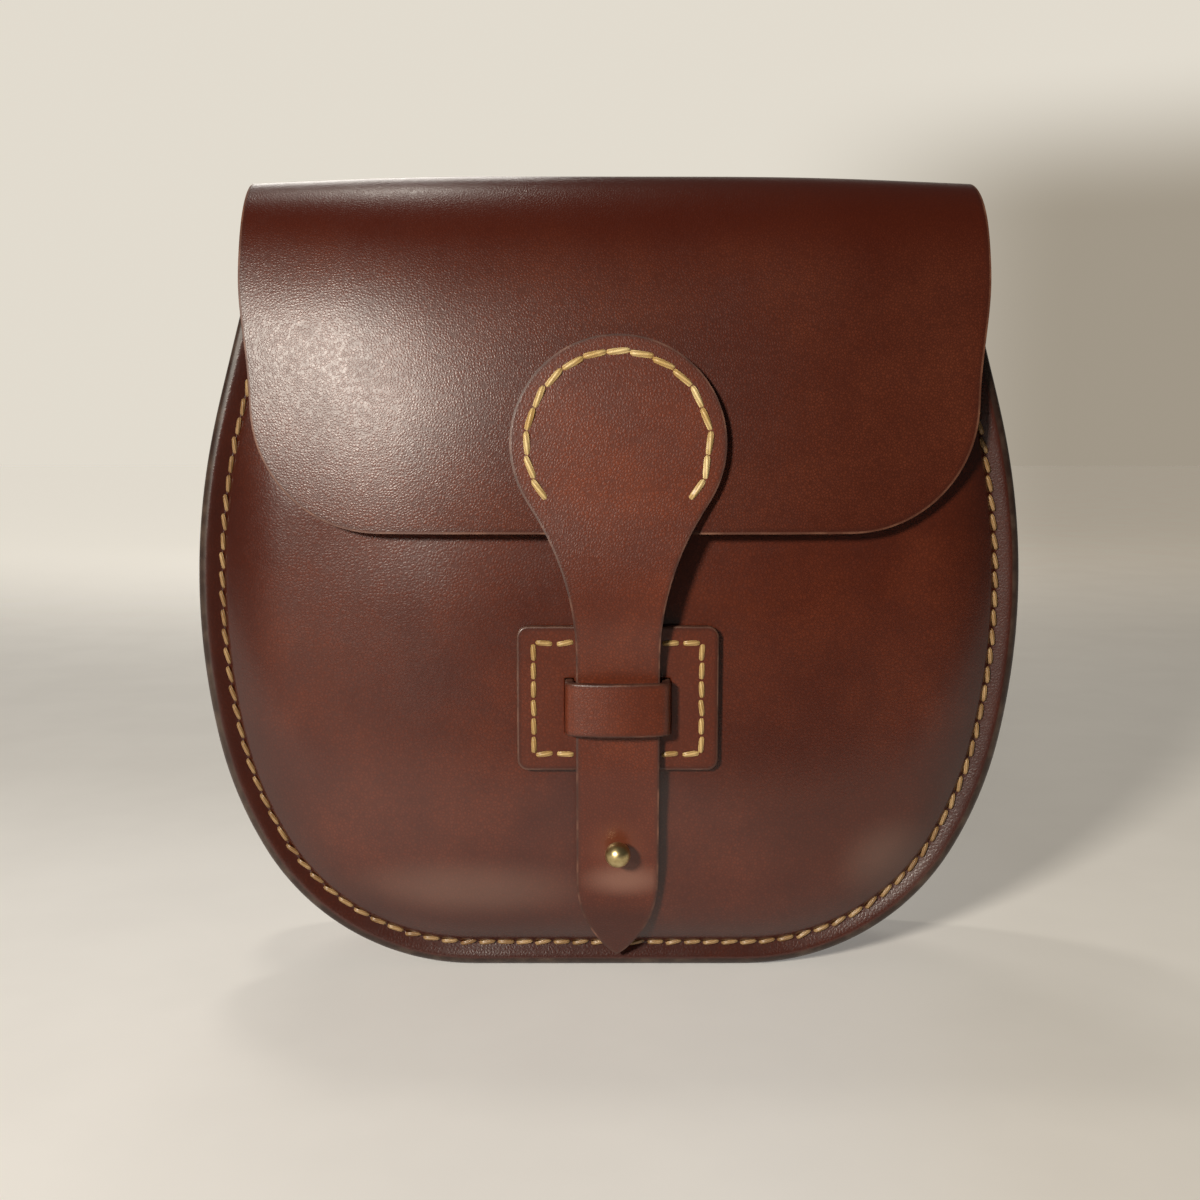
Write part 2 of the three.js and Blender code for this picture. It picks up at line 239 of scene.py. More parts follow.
def new_finish(name):
    """A material with an empty surface: itself, its Shade, and the place as the pieces are drawn."""
    material = bpy.data.materials.new(name)
    material.use_nodes = True
    material.node_tree.nodes.clear()
    shade = Shade(material.node_tree)
    where = shade.node("TexCoord", {}, {}, "Object")
    scale = (1 / MM, 1 / MM, 1 / MM)
    shift = (0, -seam_face / MM, 0)
    place = shade.node("VectorMath", {"operation": "MULTIPLY_ADD"}, {0: where, 1: scale, 2: shift})
    return material, shade, place


def set_surface(shade, values):
    """Ends a material in one Principled surface."""
    surface = shade.node("BsdfPrincipled", {}, values)
    shade.node("OutputMaterial", {}, {"Surface": surface})


def rgb(red, green, blue):
    return (red, green, blue, 1.0)


MOTTLE = {"size": 42.0, "detail": 4, "start": 0.32, "end": 0.68}
BLOTCHES = {"size": 13.0, "detail": 4, "start": 0.42, "end": 0.70}
BLOTCH_SHARE = 0.45
BLOTCH_DULLNESS = 0.02
FLECKS = {"size": 2.2, "detail": 3, "start": 0.40, "end": 0.70}
FLECK_SHARE = 0.35
FLECK_DULLNESS = 0.03
CREASE_WIDTH = 0.35
CREASE_SHADE_TONE = 0.35
SHINE_CORE = 0.1
WANDER_SIZE = 14.0
FRAY_AND_SHEEN = {"size": 7.0, "detail": 4, "start": 0.40, "end": 0.75}
RIM_DULLNESS = 0.15
RIM_SMOOTHNESS = 0.8
PORE_SIZE = 0.4
PORE_HEIGHT = 0.4
PEBBLE_HEIGHT = 0.6
WAX_ROUGHNESS = 0.14


def leather(name, deep, warm, grain, edge, height_darkening=None, painted_shines=()):
    """Waxed leather: mottled dye, pebble grain, and an edge whose bands are told by the inset attribute.

    The grain's creases carry painted shade, and height_darkening gives the heights over which the colour
    grows darker; painted_shines are spots of painted highlight.
    """
    material, shade, place = new_finish(name)
    blotches = place.patches(**BLOTCHES)
    flecks = place.patches(**FLECKS)
    colour = place.patches(**MOTTLE).blend(deep, warm)
    colour = (blotches * BLOTCH_SHARE).blend(colour, deep)
    colour = (flecks * FLECK_SHARE).blend(colour, deep)
    pebbles = place.node(
        "TexVoronoi", {"feature": "DISTANCE_TO_EDGE"}, {"Vector": place, "Scale": 1 / grain["size"]}
    )
    pebbles = pebbles.ramp(0, CREASE_WIDTH)
    # Painted shade: the creases between the pebbles are darker.
    crease_shade_tone = rgb(*(channel * CREASE_SHADE_TONE for channel in deep[:3]))
    colour = ((1 - pebbles) * grain["crease_shade"]).blend(colour, crease_shade_tone)
    if height_darkening:
        height = place.node("SeparateXYZ", {}, {"Vector": place}, "Z")
        colour = (height.ramp(*height_darkening["heights"]) * height_darkening["share"]).blend(colour, height_darkening["tone"])
    # Painted highlights: lighter spots where the leather would catch a reflection.
    for shine in painted_shines:
        offset = place.node("VectorMath", {"operation": "SUBTRACT"}, {0: place, 1: shine["at"]})
        away = place.node("VectorMath", {"operation": "DIVIDE"}, {0: offset, 1: shine["size"]})
        away = place.node("VectorMath", {"operation": "LENGTH"}, {0: away}, "Value")
        colour = (away.ramp(1, SHINE_CORE) * shine["share"]).blend(colour, shine["tone"])
    inset = shade.node("Attribute", {"attribute_name": "inset"}, {}, "Fac")
    wander = (place.cloud(WANDER_SIZE, 2) - 0.5) * edge["wander"]
    margin = 1 - (inset + wander).ramp(*edge["margin"])
    rim = 1 - (inset + wander).ramp(*edge["rim"])
    colour = (margin * edge["margin_share"]).blend(colour, edge["margin_tone"])
    # Cut edges get paler patches: fraying on most pieces, painted sheen on the seam's edge.
    cut_tone = place.patches(**FRAY_AND_SHEEN).blend(edge["rim_tone"], edge["fray_and_sheen_tone"])
    colour = rim.blend(colour, cut_tone)
    relief = pebbles * PEBBLE_HEIGHT + place.cloud(PORE_SIZE, 2) * PORE_HEIGHT
    relief = relief * (1 - rim * RIM_SMOOTHNESS)
    dullness = blotches * BLOTCH_DULLNESS + flecks * FLECK_DULLNESS + rim * RIM_DULLNESS
    surface = {
        "Base Color": colour,
        "Roughness": dullness + grain["roughness"],
        "Normal": shade.node("Bump", {}, {"Distance": grain["depth"] * MM, "Height": relief}),
        "IOR": grain["ior"],
    }
    if grain["wax"]:
        surface["Coat Weight"] = (1 - rim) * grain["wax"]
        surface["Coat Roughness"] = WAX_ROUGHNESS
    set_surface(shade, surface)
    return material


PANEL_DEEP = rgb(0.068, 0.0116, 0.0046)
PANEL_WARM = rgb(0.112, 0.0225, 0.0088)
SMOOTH_GRAIN = {"size": 1.0, "depth": 0.03, "crease_shade": 0.35, "roughness": 0.28, "ior": 1.47, "wax": 0.4}
SEAM_EDGE = {
    "wander": 0.5,
    # The dark margin: dye on the flange, and painted shade over the dome's shoulder further in.
    "margin": (6.0, 25.0),
    "margin_share": 0.6,
    "margin_tone": rgb(0.022, 0.0030, 0.0013),
    "rim": (2.4, 3.0),
    "rim_tone": rgb(0.026, 0.012, 0.008),
    # Pale patches on the rounded edge: painted sheen.
    "fray_and_sheen_tone": rgb(0.070, 0.044, 0.031),
}
# Painted highlights low on the dome's shoulders, where they would reflect the pale floor.
PAINTED_SHINE_TONE = rgb(0.190, 0.110, 0.085)
PANEL_PAINTED_SHINES = (
    {"at": (-42.0, -9.0, 27.0), "size": (48.0, 20.0, 12.0), "share": 0.4, "tone": PAINTED_SHINE_TONE},
    {"at": (85.0, -8.0, 33.0), "size": (22.0, 20.0, 18.0), "share": 0.55, "tone": PAINTED_SHINE_TONE},
)
panel_leather = leather(
    "panel_leather", PANEL_DEEP, PANEL_WARM, SMOOTH_GRAIN, SEAM_EDGE, painted_shines=PANEL_PAINTED_SHINES
)


def make_piece(name, bm, material):
    """Turns a drawn piece into a smooth object in the bag's frame that rides with the bag."""
    bmesh.ops.transform(bm, matrix=TO_BAG_FRAME, verts=bm.verts)
    mesh = bpy.data.meshes.new(name)
    bm.to_mesh(mesh)
    bm.free()
    mesh.materials.append(material)
    mesh.shade_smooth()
    piece = bpy.data.objects.new(name, mesh)
    bpy.context.collection.objects.link(piece)
    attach(piece, "root")
    return piece


def smooth_sheet(piece, levels):
    smoothing = piece.modifiers.new("smoothing", "SUBSURF")
    smoothing.levels = levels
    smoothing.render_levels = levels


def give_thickness(piece, thickness):
    wall = piece.modifiers.new("thickness", "SOLIDIFY")
    wall.thickness = thickness * MM
    wall.offset = -1


def seam_edge_points():
    """The rounded edge, the margin that flares forwards, and the groove that the thread lies in."""
    points = []
    for step in range(SEAM_EDGE_STEPS + 1):
        angle = math.radians(90) * step / SEAM_EDGE_STEPS
        depth = LEATHER - (LEATHER + RIM_RISE) * math.sin(angle)
        points.append((SEAM_EDGE_ROUND * (1 - math.cos(angle)), depth))
    for before, share in GROOVE_SIDE:
        points.append((STITCH_INSET - before, STITCH_GROOVE * share))
    return points


bm, inset = new_sheet()
dome_points = [(edge_inset, -dome_rise(edge_inset)) for edge_inset in DOME_INSETS]
sweep(bm, chain(bm, inset, seam_edge_points() + dome_points), OUTLINE)
mirror_sides(bm)
fill_to_middle(bm, inset, lambda edge_inset: -dome_rise(edge_inset))
for vert in bm.verts:
    slump = SLUMP["share"] * ease(vert.co.z, SLUMP["from"], SLUMP["to"])
    beside = ease(abs(vert.co.x), SIDE_PRESS["inner"], SIDE_PRESS["outer"])
    if vert.co.y < 0:
        dip = HEM_DIP["depth"] * ease(vert.co.z, HEM_DIP["from"], HEM_DIP["to"])
        pressed = (vert.co.y + dip * (1 - beside)) * (1 - SIDE_PRESS["share"] * beside)
        vert.co.y = pressed * (1 - slump)
    wave = PANEL_WAVES["height"] * ease(vert[inset], PANEL_WAVES["from"], PANEL_WAVES["to"])
    vert.co.y += wave * waviness(vert.co, PANEL_WAVES["size"], seed=3)
face_out(bm, (0, 0, POLE_HEIGHT), FORWARD)
front_panel = make_piece("front_panel_leather", bm, panel_leather)
smooth_sheet(front_panel, 2)
give_thickness(front_panel, LEATHER)
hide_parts("front_panel")

# Gusset: a 2.5 mm strip of the same hide that runs round the sides and the bottom of the bag.
# Its two edges are turned outwards as flanges and sewn to the front panel and to the back.
GUSSET_LEATHER = 2.5
GUSSET_ROUNDING = 0.8
BACK_FACE = 44.0
SEAM_GAP = 0.15
FLANGE_FLAT = 1.5
WALL_INSET = 8.0
WALL_HOLLOW = 0.6
BEND = 2.2
BEND_CORNER = 0.3 * BEND
GUSSET_EDGE = {**SEAM_EDGE, "margin": (1.5, 5.0), "rim": (1.8, 2.6)}
gusset_leather = leather("gusset_leather", PANEL_DEEP, PANEL_WARM, SMOOTH_GRAIN, GUSSET_EDGE)


def round_edges(piece, width):
    """Rounds the sharp edges of a piece, as an edge tool does."""
    rounding = piece.modifiers.new("rounded edges", "BEVEL")
    rounding.width = width * MM
    rounding.segments = 3
    rounding.limit_method = "ANGLE"
    rounding.angle_limit = math.radians(50)


bm, inset = new_sheet()
front_outside = LEATHER + SEAM_GAP + GUSSET_LEATHER
back_outside = BACK_FACE - LEATHER - SEAM_GAP - GUSSET_LEATHER
wall_middle = (front_outside + back_outside) / 2
flange = (
    (0, 0),
    (FLANGE_FLAT, 0),
    (WALL_INSET - BEND, 0),
    (WALL_INSET - BEND_CORNER, BEND_CORNER),
    (WALL_INSET, BEND),
)
channel = [(edge_inset, front_outside + rise) for edge_inset, rise in flange]
channel.append((WALL_INSET + WALL_HOLLOW, wall_middle))
channel += [(edge_inset, back_outside - rise) for edge_inset, rise in reversed(flange)]
sweep(bm, chain(bm, inset, channel), OUTLINE)
mirror_sides(bm)
face_out(bm, (0, wall_middle, WALL_INSET), (0, 0, -1))
gusset = make_piece("gusset_leather", bm, gusset_leather)
smooth_sheet(gusset, 1)
give_thickness(gusset, GUSSET_LEATHER)
round_edges(gusset, GUSSET_ROUNDING)
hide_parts("gusset")

# Back and flap: one long piece of the 3 mm hide, flat at the back, rolled over the top and hanging in front.
# Its back is sewn to the gusset; the flap's edge is bevelled and left a little paler than the face.
ROLL_SPRING = 216.9
BACK_BEND = {"radius": 17.8, "turn": -90.0, "steps": 10}
ROLL_TOP = {"radius": 30.0, "turn": -45.0, "steps": 7}
ROLL_FRONT = {"radius": 45.0, "turn": -25.0, "steps": 6}
FLAP_SHOULDER = {"radius": 130.0, "turn": -9.0, "steps": 4}
FLAP_FALL = {"radius": 338.0, "turn": -10.0, "steps": 12}
ROLL = (BACK_BEND, ROLL_TOP, ROLL_FRONT, FLAP_SHOULDER, FLAP_FALL)
ROLL_HALF_WIDTH = 106.0
FLAP_HALF_WIDTH = 102.5
TAPER_TOP = 205.0
FLAP_SHIFT = 1.5
FLAP_CORNER = 36.0
FLAP_CORNER_STEPS = 12
FLAP_BOW = 7.4
BOW_FROM = 0.25
BOW_TO = 0.8
TOP_ARCH = 1.9
FLAP_WAVES = {"height": 0.6, "size": 42.0}
FLAP_ROUNDING = 0.7
BACK_INSETS = (0.0, 0.8, 2.0, 4.0, STITCH_INSET, 10.0, 16.0, 24.0, 34.0)
FLAP_DEEP = rgb(0.078, 0.0148, 0.0064)
FLAP_WARM = rgb(0.124, 0.0285, 0.0125)
PEBBLE_GRAIN = {"size": 0.8, "depth": 0.038, "crease_shade": 0.5, "roughness": 0.32, "ior": 1.425, "wax": 0.0}
# The colour grows darker towards the top of the roll.
ROLL_DARKENING = {"heights": (196.0, 222.0), "share": 0.8, "tone": rgb(0.050, 0.0056, 0.0014)}
FLAP_EDGE = {
    "wander": 0.3,
    "margin": (0.6, 2.2),
    "margin_share": 0.5,
    "margin_tone": rgb(0.040, 0.009, 0.005),
    "rim": (0.3, 0.7),
    "rim_tone": rgb(0.090, 0.030, 0.016),
    "fray_and_sheen_tone": rgb(0.190, 0.084, 0.050),
}
flap_leather = leather("flap_leather", FLAP_DEEP, FLAP_WARM, PEBBLE_GRAIN, FLAP_EDGE, ROLL_DARKENING)


def trace(place, stretches, **bearings):
    """The points that one place passes through when it is swept along stretches."""
    bm = bmesh.new()
    sweep(bm, [bm.verts.new(place)], stretches, **bearings)
    points = [vert.co.copy() for vert in bm.verts]
    bm.free()
    return points


def depth_on(line, height):
    """Depth at a height on a line that hangs down, given as pairs of height and depth."""
    for (upper, upper_depth), (lower, lower_depth) in zip(line, line[1:]):
        if height >= lower:
            share = min((height - lower) / (upper - lower), 1)
            return lower_depth + (upper_depth - lower_depth) * share
    return line[-1][1]


def bow_share(sideways):
    """Share of the bow at a place across the flap: flat in the middle, then turning to a straight slope."""
    turning = BOW_TO - BOW_FROM
    turned = min(max((sideways - BOW_FROM) / turning, 0), 1)
    straight = max(sideways - BOW_TO, 0)
    whole = turning / 2 + 1 - BOW_TO
    return (turning * (turned**3 - turned**4 / 2) + straight) / whole


spring = (0, BACK_FACE, ROLL_SPRING)
roll_points = trace(spring, ROLL, start=spring, heading=90, level=(0, -1, 0))
roll_top = ROLL_SPRING + BACK_BEND["radius"]
flap_line = [(point.z, point.y) for point in roll_points[BACK_BEND["steps"]:]]
flap_bottom, flap_face = flap_line[-1]
corner_top = flap_bottom + FLAP_CORNER


def flap_inset(x, z):
    """Distance from a place on the hanging flap to the nearest part of its cut edge."""
    beyond_side = abs(x) - (FLAP_HALF_WIDTH - FLAP_CORNER)
    beyond_bottom = corner_top - z
    if beyond_side > 0 and beyond_bottom > 0:
        return FLAP_CORNER - math.hypot(beyond_side, beyond_bottom)
    return FLAP_CORNER - max(beyond_side, beyond_bottom)


bm, inset = new_sheet()
back_points = [(edge_inset, BACK_FACE) for edge_inset in BACK_INSETS]
mouth = sweep(bm, chain(bm, inset, back_points), OUTLINE)
mouth_half = max(item.co.x for item in mouth if isinstance(item, bmesh.types.BMVert))
mouth_height = max(item.co.z for item in mouth if isinstance(item, bmesh.types.BMVert))
mirror_sides(bm)
fill_to_middle(bm, inset, lambda edge_inset: BACK_FACE)

rows = []
for point in roll_points:
    if point.z > corner_top:
        taper = ease(point.z, corner_top, TAPER_TOP)
        rows.append((FLAP_HALF_WIDTH + (ROLL_HALF_WIDTH - FLAP_HALF_WIDTH) * taper, point.y, point.z))
for step in range(FLAP_CORNER_STEPS + 1):
    angle = math.radians(90) * step / FLAP_CORNER_STEPS
    height = flap_bottom + FLAP_CORNER * (1 - math.sin(angle))
    half = FLAP_HALF_WIDTH - FLAP_CORNER * (1 - math.cos(angle))
    rows.append((half, depth_on(flap_line, height), height))


def is_mouth(edge):
    """True for the edges along the top of the back, where the roll begins."""
    above = min(vert.co.z for vert in edge.verts) > mouth_height - BACK_INSETS[-1]
    return edge.is_boundary and above and max(vert[inset] for vert in edge.verts) > 0


row = [edge for edge in bm.edges if is_mouth(edge)]
last_half = mouth_half
for half, depth, height in rows:
    points, row = extrude_row(bm, row)
    front_share = (BACK_FACE - depth) / (BACK_FACE - flap_face)
    arch = TOP_ARCH * ease(height, ROLL_SPRING, roll_top)
    for vert in points:
        vert.co.x *= half / last_half
        bow = bow_share(abs(vert.co.x) / max(half, FLAP_HALF_WIDTH))
        vert.co.y = depth + FLAP_BOW * front_share**2 * bow
        vert.co.z = height - arch * bow
        vert[inset] = half - abs(vert.co.x)
        if height <= corner_top:
            vert[inset] = flap_inset(vert.co.x, vert.co.z)
    last_half = half
for vert in bm.verts:
    front_share = ease(BACK_FACE - vert.co.y, 0, BACK_FACE)
    vert.co.x += FLAP_SHIFT * front_share
    vert.co.y += FLAP_WAVES["height"] * front_share * waviness(vert.co, FLAP_WAVES["size"], seed=7)
face_out(bm, (0, BACK_FACE - BACK_BEND["radius"], roll_top), (0, 0, 1))
back_and_flap = make_piece("back_and_flap_leather", bm, flap_leather)
smooth_sheet(back_and_flap, 1)
give_thickness(back_and_flap, LEATHER)
round_edges(back_and_flap, FLAP_ROUNDING)
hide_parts("back_and_flap")

# Seam thread: thick waxed linen, saddle-stitched by hand through the front and the back seam.
# Each stitch lies a little aslant along the seam and dips into an awl hole at both ends.
STITCH_PITCH = 5.6
SEAM_STITCH = {"length": 5.4, "width": 1.4}
STITCH_SLANT = 10.0
STITCH_TILT = 16.0
STITCH_SQUARENESS = 6
STITCH_DIP = 0.9
STITCH_THICKNESS = 0.42
THREAD_SIDES = 8
THREAD_RINGS = 8
FRONT_THREAD_DEPTH = 0.1
BACK_THREAD_DEPTH = BACK_FACE + 0.1
SEAM_STEPS = 40
PLIES_AROUND = 5
TWIST_ALONG = 1.2
PLY_DEPTH = 0.12
# Painted shade in the lay between the plies and where the ends sink into the awl holes.
LAY_SHADE_TONE = rgb(0.20, 0.090, 0.024)
LAY_SHADE_SHARE = 0.6
HOLE_SHADE_TONE = rgb(0.060, 0.022, 0.008)
HOLE_ENDS = (0.32, 0.48)
THREAD_WEAR = {"size": 9.0, "detail": 3, "start": 0.30, "end": 0.70}
THREAD_ROUGHNESS = 0.38


def thread_finish(name, dull, bright):
    """Two-ply twisted waxed thread, with painted shade between the plies and on the ends sunk into holes."""
    material, shade, place = new_finish(name)
    lay = shade.node("UVMap", {}, {})
    across = shade.node("SeparateXYZ", {}, {"Vector": lay}, "X")
    along = shade.node("SeparateXYZ", {}, {"Vector": lay}, "Y")
    twist = (across * PLIES_AROUND + along * TWIST_ALONG) * math.tau
    plies = twist.math("SINE", twist, 0) * 0.5 + 0.5
    hole_shade = twist.math("ABSOLUTE", along - 0.5, 0).ramp(*HOLE_ENDS)
    colour = place.patches(**THREAD_WEAR).blend(dull, bright)
    colour = ((1 - plies) * LAY_SHADE_SHARE).blend(colour, LAY_SHADE_TONE)
    colour = hole_shade.blend(colour, HOLE_SHADE_TONE)
    bump = shade.node("Bump", {}, {"Strength": 0.8, "Distance": PLY_DEPTH * MM, "Height": plies})
    set_surface(shade, {"Base Color": colour, "Roughness": THREAD_ROUGHNESS, "Normal": bump})
    return material


soiled_thread = thread_finish("soiled_thread", rgb(0.20, 0.115, 0.048), rgb(0.42, 0.28, 0.135))


def new_thread():
    """An empty mesh for stitches, with the UV map that the twist of the thread follows."""
    bm = bmesh.new()
    bm.loops.layers.uv.new("UVMap")
    return bm


def add_stitch(bm, place, along, outward, length, width):
    """One hand-sewn stitch: a rounded thread, a little askew, whose ends bend down into the leather."""
    tilt = math.radians(STITCH_TILT) * waviness(place, STITCH_PITCH, seed=11)
    along = Matrix.Rotation(tilt, 3, outward) @ along
    across = outward.cross(along)
    frame_axes = Matrix((across, outward, along)).transposed().to_4x4()
    made = bmesh.ops.create_uvsphere(
        bm, u_segments=THREAD_SIDES, v_segments=THREAD_RINGS, radius=1, calc_uvs=True
    )["verts"]
    for vert in made:
        fullness = math.sqrt(1 - min(abs(vert.co.z), 1) ** STITCH_SQUARENESS)
        ring = math.hypot(vert.co.x, vert.co.y)
        swell = fullness / ring if ring > 0.01 else 0
        dip = STITCH_DIP * abs(vert.co.z) ** STITCH_SQUARENESS
        vert.co.x *= swell * width / 2
        vert.co.y = vert.co.y * swell * width * STITCH_THICKNESS - dip
        vert.co.z *= length / 2
    bmesh.ops.transform(bm, matrix=Matrix.Translation(place) @ frame_axes, verts=made)


def stitch_places(edge_inset, depth):
    """Evenly spaced places along the right half of a seam, each with the way the seam runs there."""
    fine = [{**stretch, "steps": SEAM_STEPS} for stretch in OUTLINE]
    points = trace((0, depth, edge_inset), fine)
    travelled = 0.0
    wanted = STITCH_PITCH / 2
    for here, there in zip(points, points[1:]):
        step = (there - here).length
        while travelled + step > wanted:
            yield here.lerp(there, (wanted - travelled) / step), (there - here).normalized()
            wanted += STITCH_PITCH
        travelled += step


def sew_seam(name, depth, outward):
    """A row of stitches along both halves of a seam, all slanting the same way along it."""
    bm = new_thread()
    slant = Matrix.Rotation(math.radians(STITCH_SLANT), 3, outward)
    for place, along in stitch_places(STITCH_INSET, depth):
        for side in (1, -1):
            seat = Vector((place.x * side, place.y, place.z))
            way = Vector((along.x, along.y, along.z * side))
            add_stitch(bm, seat, (slant @ way).normalized(), outward, **SEAM_STITCH)
    make_piece(name, bm, soiled_thread)


sew_seam("front_seam_thread", FRONT_THREAD_DEPTH, FORWARD)
sew_seam("back_seam_thread", BACK_THREAD_DEPTH, Vector((0, 1, 0)))

# Keeper patch: a rounded rectangle of 2.4 mm leather sewn to the middle of the front.
# Two slits take the ends of the keeper loop, and a row of stitches runs round inside its edge.
TRIM_LEATHER = 2.4
CLOSURE_SHIFT = 2.4
PATCH_WIDTH = 57.0
PATCH_HEIGHT = 41.4
PATCH_CENTRE = 84.6
PATCH_CORNER = 3.2
PATCH_CORNER_STEPS = 6
PATCH_ROUNDING = 0.5
PATCH_FACE = -15.2
LOOP_HALF = 12.5
LOOP_BOTTOM = 75.2
LOOP_HEIGHT = 15.0
SLIT_SIDE_PLAY = 0.2
SLIT_END_PLAY = 0.3
PATCH_RINGS = (0.8, 1.0)
PATCH_STITCH_INSET = 4.8
PATCH_STITCH = {"length": 5.5, "width": 1.6}
worn_thread = thread_finish("worn_thread", rgb(0.38, 0.24, 0.085), rgb(0.66, 0.47, 0.20))
PATCH_EDGE = {
    "wander": 0.2,
    "margin": (0.6, 1.8),
    "margin_share": 0.5,
    "margin_tone": rgb(0.030, 0.007, 0.004),
    "rim": (0.3, 0.7),
    "rim_tone": rgb(0.070, 0.026, 0.016),
    "fray_and_sheen_tone": rgb(0.140, 0.070, 0.048),
}
PATCH_DEEP = rgb(0.088, 0.0165, 0.0066)
PATCH_WARM = rgb(0.126, 0.0265, 0.0108)
patch_leather = leather("patch_leather", PATCH_DEEP, PATCH_WARM, SMOOTH_GRAIN, PATCH_EDGE)


def inset_rings(bm, inset, widths):
    """Insets the one face of a flat piece ring by ring, and notes each ring's inset from the cut edge."""
    face = bm.faces[:]
    total = 0.0
    for width in widths:
        bmesh.ops.inset_region(bm, faces=face, thickness=width, use_boundary=True, use_even_offset=True)
        total += width
        for vert in face[0].verts:
            vert[inset] = total


def cut_across(bm, plane_point, plane_normal):
    whole = bm.verts[:] + bm.edges[:] + bm.faces[:]
    bmesh.ops.bisect_plane(bm, geom=whole, dist=0.0001, plane_co=plane_point, plane_no=plane_normal)


bm, inset = new_sheet()
upright = Matrix.Translation((0, PATCH_FACE, PATCH_CENTRE)) @ Matrix.Rotation(math.radians(90), 4, "X")
size = Matrix.Diagonal((PATCH_WIDTH / 2, PATCH_HEIGHT / 2, 1, 1))
bmesh.ops.create_grid(bm, x_segments=1, y_segments=1, size=1, matrix=upright @ size)
bmesh.ops.bevel(
    bm,
    geom=bm.verts[:],
    offset=PATCH_CORNER,
    offset_type="OFFSET",
    affect="VERTICES",
    segments=PATCH_CORNER_STEPS,
    profile=0.5,
    material=-1,
)
bm.faces.ensure_lookup_table()
inset_rings(bm, inset, PATCH_RINGS)
slit_inside = LOOP_HALF - SLIT_SIDE_PLAY
slit_outside = LOOP_HALF + TRIM_LEATHER
slit_bottom = LOOP_BOTTOM - SLIT_END_PLAY
slit_top = LOOP_BOTTOM + LOOP_HEIGHT + SLIT_END_PLAY
for slit_side in (slit_inside, slit_outside, -slit_inside, -slit_outside):
    cut_across(bm, (slit_side, 0, 0), (1, 0, 0))
for slit_end in (slit_bottom, slit_top):
    cut_across(bm, (0, 0, slit_end), (0, 0, 1))
slits = []
for face in bm.faces:
    middle = face.calc_center_median()
    if slit_inside < abs(middle.x) < slit_outside and slit_bottom < middle.z < slit_top:
        slits.append(face)
bmesh.ops.delete(bm, geom=slits, context="FACES")
face_out(bm, (0, PATCH_FACE, PATCH_CENTRE), FORWARD)
bmesh.ops.translate(bm, verts=bm.verts, vec=(CLOSURE_SHIFT, 0, 0))
keeper_patch = make_piece("keeper_patch_leather", bm, patch_leather)
give_thickness(keeper_patch, TRIM_LEATHER)
round_edges(keeper_patch, PATCH_ROUNDING)
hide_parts("keeper_patch")

bm = new_thread()
half_wide = PATCH_WIDTH / 2 - PATCH_STITCH_INSET
half_high = PATCH_HEIGHT / 2 - PATCH_STITCH_INSET
across_count = round(2 * half_wide / STITCH_PITCH)
up_count = round(2 * half_high / STITCH_PITCH)
for side in (1, -1):
    for step in range(across_count):
        x = half_wide * (2 * (step + 0.5) / across_count - 1)
        seat = Vector((CLOSURE_SHIFT + x, PATCH_FACE, PATCH_CENTRE + side * half_high))
        add_stitch(bm, seat, Vector((1, 0, 0)), FORWARD, **PATCH_STITCH)
    for step in range(up_count):
        z = half_high * (2 * (step + 0.5) / up_count - 1)
        seat = Vector((CLOSURE_SHIFT + side * half_wide, PATCH_FACE, PATCH_CENTRE + z))
        add_stitch(bm, seat, Vector((0, 0, 1)), FORWARD, **PATCH_STITCH)
make_piece("patch_thread", bm, worn_thread)

# Keeper loop: a 15 mm band of the strap leather, bent over the strap with its ends in the patch's slits.
# It stands a little slack over the strap, with a bevelled edge above and below.
LOOP_FRONT = -24.0
LOOP_ROWS = (0.0, 0.8, 2.0, 7.5, 13.0, 14.2, 15.0)
LOOP_CROWN = {"radius": 47.0, "turn": 14.5, "steps": 6}
LOOP_SHOULDER = {"radius": 4.0, "turn": 75.5, "steps": 7}
LOOP_LEG = {"run": 5.6, "steps": 2}
LOOP_ROUNDING = 0.5
STRAP_DEEP = rgb(0.104, 0.0188, 0.0066)
STRAP_WARM = rgb(0.184, 0.0390, 0.0140)
STRAP_GRAIN = {"size": 0.9, "depth": 0.04, "crease_shade": 0.42, "roughness": 0.33, "ior": 1.5, "wax": 0.1}
STRAP_EDGE = {
    "wander": 0.3,
    "margin": (0.6, 1.8),
    "margin_share": 0.5,
    "margin_tone": rgb(0.060, 0.014, 0.007),
    "rim": (0.3, 0.7),
    "rim_tone": rgb(0.050, 0.015, 0.009),
    "fray_and_sheen_tone": rgb(0.170, 0.072, 0.044),
}
loop_leather = leather("loop_leather", STRAP_DEEP, STRAP_WARM, STRAP_GRAIN, STRAP_EDGE)

bm, inset = new_sheet()
verts = []
for rise in LOOP_ROWS:
    vert = bm.verts.new((0, LOOP_FRONT, LOOP_BOTTOM + rise))
    vert[inset] = min(rise, LOOP_HEIGHT - rise)
    verts.append(vert)
section = verts + [bm.edges.new(pair) for pair in zip(verts, verts[1:])]
sweep(bm, section, (LOOP_CROWN, LOOP_SHOULDER, LOOP_LEG), (0, LOOP_FRONT, 0), left=(0, 1, 0))
mirror_sides(bm)
face_out(bm, (0, LOOP_FRONT, LOOP_BOTTOM + LOOP_HEIGHT / 2), FORWARD)
bmesh.ops.translate(bm, verts=bm.verts, vec=(CLOSURE_SHIFT, 0, 0))
keeper_loop = make_piece("keeper_loop_leather", bm, loop_leather)
give_thickness(keeper_loop, TRIM_LEATHER)
round_edges(keeper_loop, LOOP_ROUNDING)
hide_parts("keeper_loop")

